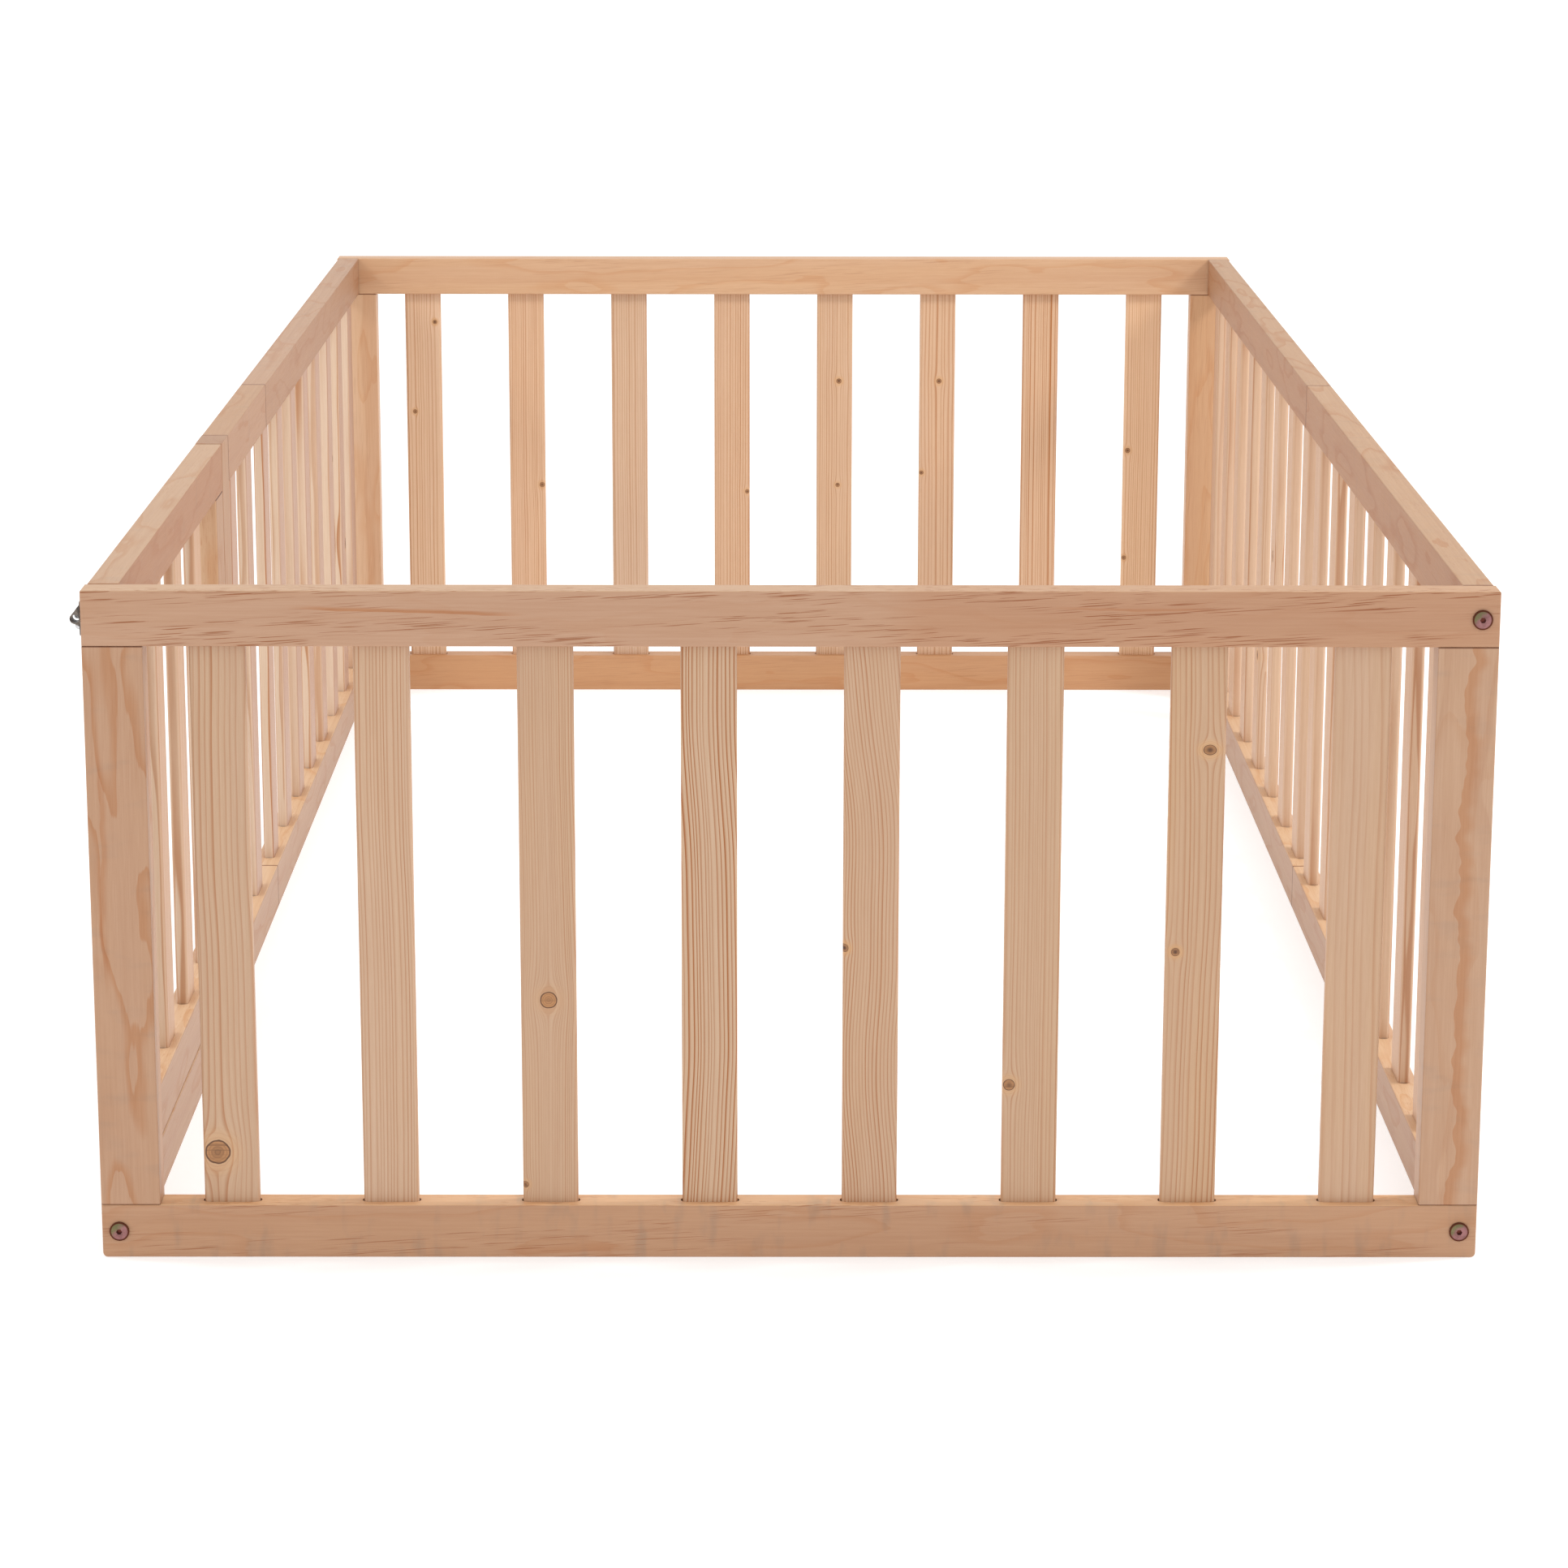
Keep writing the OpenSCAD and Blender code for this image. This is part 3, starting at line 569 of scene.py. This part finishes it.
# Painted light and shade: the left side's slats are made mauve and darker on their inner faces,
# as if in shade, and paler along their front edges, as if lit; the gate's slats less so.
LEFT_SLAT_PAINTED_LIGHT = ((RIGHTWARD, (0.84, 0.83, 0.92, 1.0)), (FORWARD, (1.1, 1.22, 1.33, 1.0)))
GATE_SLAT_PAINTED_LIGHT = ((RIGHTWARD, (0.97, 0.95, 0.93, 1.0)), (FORWARD, (1.1, 1.2, 1.28, 1.0)))
for number in range(1, 5):
    pine(
        f"gate_slat_{number}", SIDE_STRAW.but(gap=(2.4 + 0.5 * number) * MM),
        seed=40 + number * 2.7, facing=GATE_SLAT_PAINTED_LIGHT,
    )

END_PITCH = 121.7 * MM
SIDE_PITCH = 123 * MM


def first_centre(row, single, axis):
    """Centre of the first slat of a row, from the row's box and a single slat's width."""
    low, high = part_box(single)
    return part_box(row)[0][axis] + (high - low)[axis] / 2


BACK_FIRST = first_centre("back_slats", "front_slat_1", X_AXIS)
# Slats made paler or darker than the rest of the back panel. On the end slats, 0 and 7, this is
# painted light that lifts them out of the shade the side panels cast from the lamps; slat 2 is
# made a little bluer and slat 4 a little darker.
BACK_SLAT_TONES_AND_PAINTED_LIGHT = (
    (0, (1.06, 1.1, 1.13, 1.0)), (2, (0.97, 1.02, 1.08, 1.0)), (4, (0.95, 0.96, 0.96, 1.0)),
    (7, (1.11, 1.13, 1.11, 1.0)),
)
pine(
    "back_slats", STRAW.but(early=(207, 170, 139), late=(168, 108, 58), lines=0.7), seed=61.0,
    axes=[Z_AXIS, X_AXIS, Y_AXIS], row=(BACK_FIRST, END_PITCH), odd=BACK_SLAT_TONES_AND_PAINTED_LIGHT,
    knots=[Knot(height, BACK_FIRST + (place - 1) * END_PITCH + offset, radius, dark)
           for place, offset, height, radius, dark in BACK_KNOTS],
)
# For each row, its knots: place in the row from 0, offset, height, radius, darkness.
SIDE_ROWS = {
    "right_front_slats": ((3, 0.0, 364 * MM, 5 * MM, 0.3),),
    "right_rear_slats": ((3, -10 * MM, 165 * MM, 5 * MM, 1.0), (2, 0.0, 295 * MM, 6 * MM, 0.35)),
    "left_rear_slats": ((5, 16 * MM, 330 * MM, 4 * MM, 0.9), (6, 14 * MM, 210 * MM, 6 * MM, 0.8)),
    "left_fixed_slats": (),
}
for order, (group, places) in enumerate(SIDE_ROWS.items()):
    first = first_centre(group, "gate_slat_1", Y_AXIS)
    pine(
        group, SIDE_STRAW, seed=71.0 + order * 5, axes=[Z_AXIS, Y_AXIS, X_AXIS],
        row=(first, SIDE_PITCH), facing=LEFT_SLAT_PAINTED_LIGHT if group.startswith("left") else (),
        knots=[Knot(height, first + place * SIDE_PITCH + offset, radius, dark)
               for place, offset, height, radius, dark in places],
    )

WARM_LOW = WARM.but(early=(191, 143, 103), late=(168, 112, 72))
RAILS = {
    "front_top_rail": TAN, "front_bottom_rail": PLAIN, "back_top_rail": WARM,
    "back_bottom_rail": WARM_LOW, "right_front_top_rail": RIGHT_TOP,
    "right_front_bottom_rail": SIDE_LOW, "right_rear_top_rail": RIGHT_TOP,
    "right_rear_bottom_rail": SIDE_LOW, "left_rear_top_rail": LEFT_REAR_TOP,
    "left_rear_bottom_rail": SIDE_LOW, "left_sill": SIDE_LOW, "left_fixed_top_rail": SIDE_TOP,
    "gate_top_rail": GATE_TOP, "gate_bottom_rail": SIDE_LOW,
}
POSTS = {
    "front_left_post": BLOTCHED,
    "front_right_post": BLOTCHED.but(contours=0.2, early=(187, 150, 122)),
    "back_left_post": WARM.but(early=(205, 168, 136)),
    "back_right_post": WARM.but(early=(197, 155, 119)),
    "hinge_post": HINGE_SIDE, "gate_latch_stile": SIDE_TAN, "gate_hinge_stile": HINGE_SIDE,
}
# Painted light: faces that point up are made paler, standing in for the light that falls on them
# between the slats and along the top of the sides.
UPWARD_PAINTED_LIGHT = {"front_bottom_rail": (1.5, 1.62, 1.55, 1.0), "front_top_rail": (1.06, 1.14, 1.1, 1.0)}
UPWARD_PAINTED_LIGHT_BY_LOOK = {
    SIDE_LOW: (1.5, 1.6, 1.5, 1.0),
    SIDE_TOP: (1.1, 1.15, 1.1, 1.0),
    GATE_TOP: (1.29, 1.66, 2.0, 1.0),
    RIGHT_TOP: (1.15, 1.33, 1.42, 1.0),
    LEFT_REAR_TOP: (1.19, 1.31, 1.41, 1.0),
}
UPWARD_PAINTED_LIGHT.update((rail, UPWARD_PAINTED_LIGHT_BY_LOOK[look]) for rail, look in RAILS.items() if look in UPWARD_PAINTED_LIGHT_BY_LOOK)
FACE_PAINTED_LIGHT = {board: [(UP, factors)] for board, factors in UPWARD_PAINTED_LIGHT.items()}
# Painted light: the gate's rear stile is made paler on its face towards the front of the pen,
# lifting it out of the shade that falls there.
FACE_PAINTED_LIGHT["gate_hinge_stile"] = [(FORWARD, (1.48, 1.6, 1.6, 1.0))]
VEINS = {
    "front_top_rail": (
        Vein(-4 * MM, -380 * MM, -190 * MM, slope=-0.03, width=4 * MM, wobble=4 * MM, depth=0.8),
        Vein(9 * MM, 180 * MM, 330 * MM, slope=-0.01, width=3 * MM, wobble=4 * MM, depth=0.5),
        Vein(-40 * MM, 60 * MM, 900 * MM, width=300 * MM, wobble=0.0, depth=0.3),
    ),
    "front_bottom_rail": (
        Vein(-12 * MM, -230 * MM, -110 * MM, slope=0.03, width=9 * MM, wobble=6 * MM, depth=0.4),
    ),
    "front_right_post": (
        Vein(0.0, -310 * MM, 310 * MM, width=13 * MM, wobble=52 * MM, depth=0.6),
    ),
    "front_left_post": (
        Vein(-14 * MM, -60 * MM, 150 * MM, width=6 * MM, wobble=16 * MM, depth=0.5),
    ),
}
# How far in from each board's ends the painted joint shade reaches.
SEAM_SHADE_REACH = dict.fromkeys(POSTS, 1.1 * MM)
SEAM_SHADE_REACH.update((rail, 2 * MM) for rail in RAILS if rail.startswith(("left", "right")))
SEAM_SHADE_REACH["hinge_post"] = 0.0
for order, (board, look) in enumerate({**RAILS, **POSTS}.items()):
    pine(
        board, look, seed=101.0 + order * 3.1, veins=VEINS.get(board, ()),
        seam=SEAM_SHADE_REACH.get(board, 0.0), facing=FACE_PAINTED_LIGHT.get(board, ()),
    )

DOWEL = STRAW.but(gap=2 * MM, lines=0.15)
for node in ("frame_dowels", "gate_dowels"):
    pine(node, DOWEL, seed=7.0)


# ---------------------------------------------------------------- metal

CLOUDS_PER_METRE = 260.0
SCRATCHES_PER_METRE = (900.0, 5200.0, 900.0)
SHEEN_PATCHES_PER_METRE = 190.0
BOLT_HEAD_R = 7.5 * MM


def metal(name, light, dark, roughness):
    """Plated steel with a cloudy tone and fine scratches. Also returns what more is built on."""
    material, net, shader = new_material(name)
    place = net.node("ShaderNodeTexCoord").outputs["Object"]
    cloud = net.noise(net.scale(place, CLOUDS_PER_METRE), detail=3.0)
    tone = net.mix(net.step(cloud, 0.3, 0.7), colour(*dark), colour(*light))
    scratch = net.noise(net.vector("MULTIPLY", place, SCRATCHES_PER_METRE), detail=2.0)
    shader.inputs["Metallic"].default_value = 1.0
    net.put(shader.inputs["Base Color"], tone)
    net.put(shader.inputs["Roughness"], net.spread(scratch, roughness - 0.12, roughness + 0.12))
    add_bump(net, shader, scratch, distance=0.04 * MM, strength=0.35)
    return material, net, shader, place, tone


def zinc_bolt():
    """Yellow zinc: a mauve face with a greenish corner, a painted dark reflection round the rim and
    a socket in painted shade.
    """
    material, net, shader, place, tone = metal("zinc_bolt", (152, 108, 108), (128, 92, 90), 0.28)
    low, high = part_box("frame_bolts")
    span, middle = (high - low) / 2, (low + high) / 2
    x, _, z = net.split(net.vector("SUBTRACT", place, tuple(middle)))

    def from_head(offset, reach):
        """How far from the nearest bolt head's middle, given how far those are from the middle."""
        return net.math("SUBTRACT", offset, net.math("MULTIPLY", net.math("SIGN", offset), reach))

    right = from_head(x, span.x - BOLT_HEAD_R)
    up = from_head(z, span.z - BOLT_HEAD_R)
    radius = net.vector("LENGTH", net.join(right, up, 0.0))
    patches = net.noise(net.scale(place, SHEEN_PATCHES_PER_METRE))
    drift = net.spread(patches, -4.5 * MM, 4.5 * MM)
    corner = net.math("ADD", net.math("SUBTRACT", up, right), drift)
    tone = net.mix(net.step(corner, 0.0, 6.0 * MM, 0.0, 0.7), tone, colour(104, 112, 68))
    # Painted reflection: a dark brown ring round each head's rim, where its curved edge would
    # reflect dark surroundings.
    tone = net.mix(net.step(radius, 5.9 * MM, 6.7 * MM), tone, colour(86, 46, 32))
    # Painted shade: the socket in the middle of each head is dark.
    tone = net.mix(net.step(radius, 1.7 * MM, 2.2 * MM, 1.0, 0.0), tone, colour(96, 52, 44))
    net.put(shader.inputs["Base Color"], tone)
    return material


ZINC_BOLT = zinc_bolt()
ZINC_STEEL = metal("zinc_steel", (204, 204, 203), (182, 182, 182), 0.36)[0]
LATCH_STEEL = metal("latch_steel", (128, 118, 110), (64, 56, 52), 0.3)[0]
ROD_STEEL = metal("rod_steel", (214, 214, 216), (168, 166, 166), 0.22)[0]

METAL_NODES = {
    "frame_bolts": ZINC_BOLT, "insert_nuts": ZINC_BOLT,
    "joining_plates": ZINC_STEEL, "plate_screws": ZINC_STEEL,
    "post_hinge_leaves": ZINC_STEEL, "post_hinge_screws": ZINC_STEEL, "hinge_pins": ZINC_STEEL,
    "gate_hinge_leaves": ZINC_STEEL, "gate_hinge_screws": ZINC_STEEL,
    "latch_keeper": LATCH_STEEL, "keeper_screws": LATCH_STEEL, "latch_plate": LATCH_STEEL,
    "latch_screws": ROD_STEEL, "latch_rod": ROD_STEEL,
}
for node, material in METAL_NODES.items():
    dress(node, material)


# ---------------------------------------------------------------- studio

FLOOR_HALF = 30.0
FLOOR_GREYS = (0.74, 0.76)
FLOOR_GLOW = 0.4
WORLD_LIGHT = 1.0
SOFT_BOXES = {"left": (-2.6, 22.0), "right": (2.6, 46.0)}       # sideways place, power in watts
SOFT_BOX_SIZE = 0.6
CAMERA_PLACE = Vector((-0.015, -4.108, 1.161))
CAMERA_PITCH, CAMERA_YAW, CAMERA_ROLL = 13.113, -0.186, 0.089       # degrees
CAMERA_LENS, CAMERA_SHIFT = 99.15, -0.05


def make_floor():
    """A pale floor, large enough that its edge is never in view."""
    mesh = bpy.data.meshes.new("studio_floor")
    signs = ((-1, -1), (1, -1), (1, 1), (-1, 1))
    corners = [(x * FLOOR_HALF, y * FLOOR_HALF, 0.0) for x, y in signs]
    mesh.from_pydata(corners, [], [(0, 1, 2, 3)])
    floor = bpy.data.objects.new("studio_floor", mesh)
    bpy.context.scene.collection.objects.link(floor)
    material, net, shader = new_material("studio_floor")
    speck = net.noise(net.scale(net.node("ShaderNodeTexCoord").outputs["Object"], 30.0))
    dark, light = ((grey, grey, grey, 1.0) for grey in FLOOR_GREYS)
    net.put(shader.inputs["Base Color"], net.mix(speck, dark, light))
    shader.inputs["Emission Color"].default_value = (1.0, 1.0, 1.0, 1.0)
    shader.inputs["Emission Strength"].default_value = FLOOR_GLOW
    shader.inputs["Roughness"].default_value = 0.9
    shader.inputs["Specular IOR Level"].default_value = 0.1
    mesh.materials.append(material)


def make_soft_box(name, place, target, power):
    """A square lamp at place, turned to face target."""
    light = bpy.data.lights.new(name, "AREA")
    light.shape = "SQUARE"
    light.size = SOFT_BOX_SIZE
    light.energy = power
    lamp = bpy.data.objects.new(name, light)
    bpy.context.scene.collection.objects.link(lamp)
    lamp.location = place
    lamp.rotation_mode = "QUATERNION"
    lamp.rotation_quaternion = (Vector(target) - Vector(place)).to_track_quat("-Z", "Y")


def make_light():
    """White surroundings, with a soft box high on the left and another on the right."""
    world = bpy.data.worlds.new("studio")
    bpy.context.scene.world = world
    world.use_nodes = True
    background = world.node_tree.nodes["Background"]
    background.inputs["Color"].default_value = (1.0, 1.0, 1.0, 1.0)
    background.inputs["Strength"].default_value = WORLD_LIGHT
    for name, (sideways, power) in SOFT_BOXES.items():
        make_soft_box(name, (sideways, -0.4, 2.5), (0.0, 0.1, 0.3), power)


def make_camera():
    """A long lens in front of the pen, just left of its middle, looking slightly down."""
    data = bpy.data.cameras.new("camera")
    data.sensor_width = 36.0
    data.lens = CAMERA_LENS
    data.shift_y = CAMERA_SHIFT
    camera = bpy.data.objects.new("camera", data)
    bpy.context.scene.collection.objects.link(camera)
    turn = Matrix.Rotation(math.radians(CAMERA_YAW), 4, "Z")
    tilt = Matrix.Rotation(math.radians(90 - CAMERA_PITCH), 4, "X")
    roll = Matrix.Rotation(math.radians(CAMERA_ROLL), 4, "Z")
    camera.matrix_world = Matrix.Translation(CAMERA_PLACE) @ turn @ tilt @ roll
    bpy.context.scene.camera = camera


make_floor()
make_light()
make_camera()
bpy.context.scene.view_settings.view_transform = "Standard"
